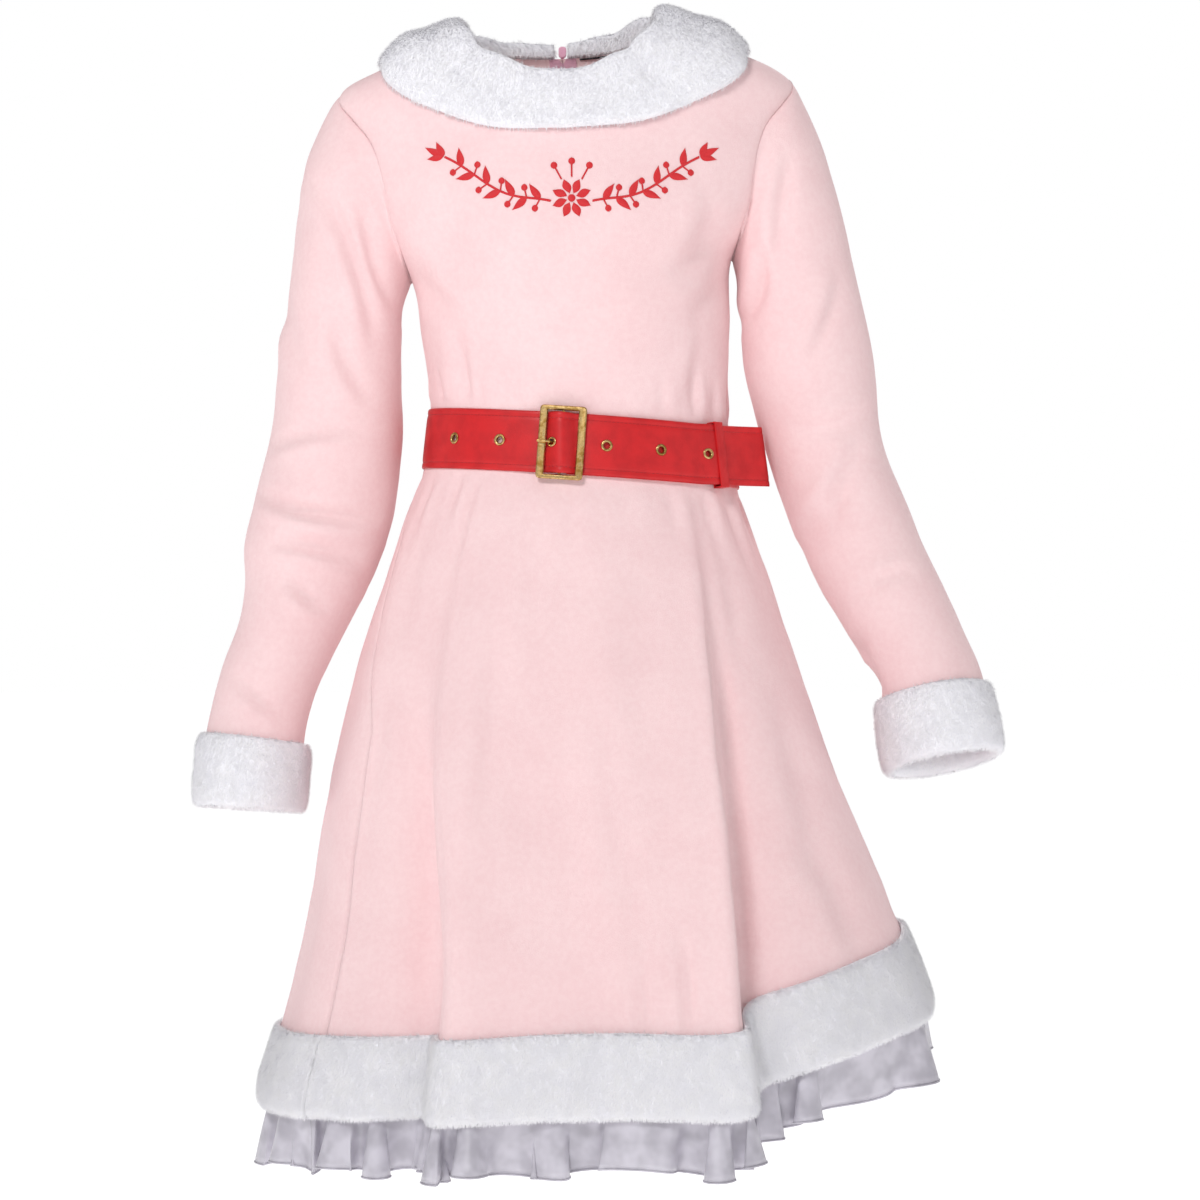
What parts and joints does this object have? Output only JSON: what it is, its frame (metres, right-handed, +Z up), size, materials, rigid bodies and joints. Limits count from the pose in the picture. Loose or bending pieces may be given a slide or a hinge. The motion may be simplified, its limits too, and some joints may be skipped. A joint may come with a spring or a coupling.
{
  "type": "elf costume dress with belt",
  "caption": "Long-sleeved A-line costume dress in fleece with fur collar, cuffs and hem, a satin frill and a buckled belt, in its hollow worn form.",
  "frame": {"origin": "on the wearer's shoulders, midway between the two points where the shoulder meets the neck", "axes": "+Z up, -Y the way the front faces, +X the wearer's left"},
  "size_m": [0.7114, 0.4534, 1.0061],
  "materials": {
    "fleece": "brushed pink fleece",
    "fur": "short white pile",
    "satin": "shiny white satin organza",
    "belt": "red leathercloth",
    "brass": "antique brass",
    "zip_tape": "pink woven tape",
    "zip_metal": "pink lacquer",
    "label": "plain black woven tape"
  },
  "bodies": {
    "dress": {"front": "fleece", "back_left": "fleece", "back_right": "fleece", "sleeve_left": "fleece", "sleeve_right": "fleece", "cuff_left": "fur", "cuff_right": "fur", "collar": "fur", "hem_trim_front": "fur", "hem_trim_back": "fur", "ruffle_front": "satin", "ruffle_back": "satin", "belt_strap": "belt", "belt_keeper": "belt", "buckle_frame": "brass", "buckle_prong": "brass", "eyelet_1": "brass", "eyelet_2": "brass", "eyelet_3": "brass", "eyelet_4": "brass", "eyelet_5": "brass", "eyelet_6": "brass", "zip_tape_left": "zip_tape", "zip_tape_right": "zip_tape", "zip_slider": "zip_metal", "label": "label"},
    "pull": {"zip_pull": "zip_metal"}
  },
  "joints": [
    {"name": "pull_swing", "type": "hinge", "parent": "dress", "child": "pull", "pos_m": [-0.0048, 0.0715, -0.0062], "axis": [1, 0, 0], "range_deg": [0, 150]}
  ]
}
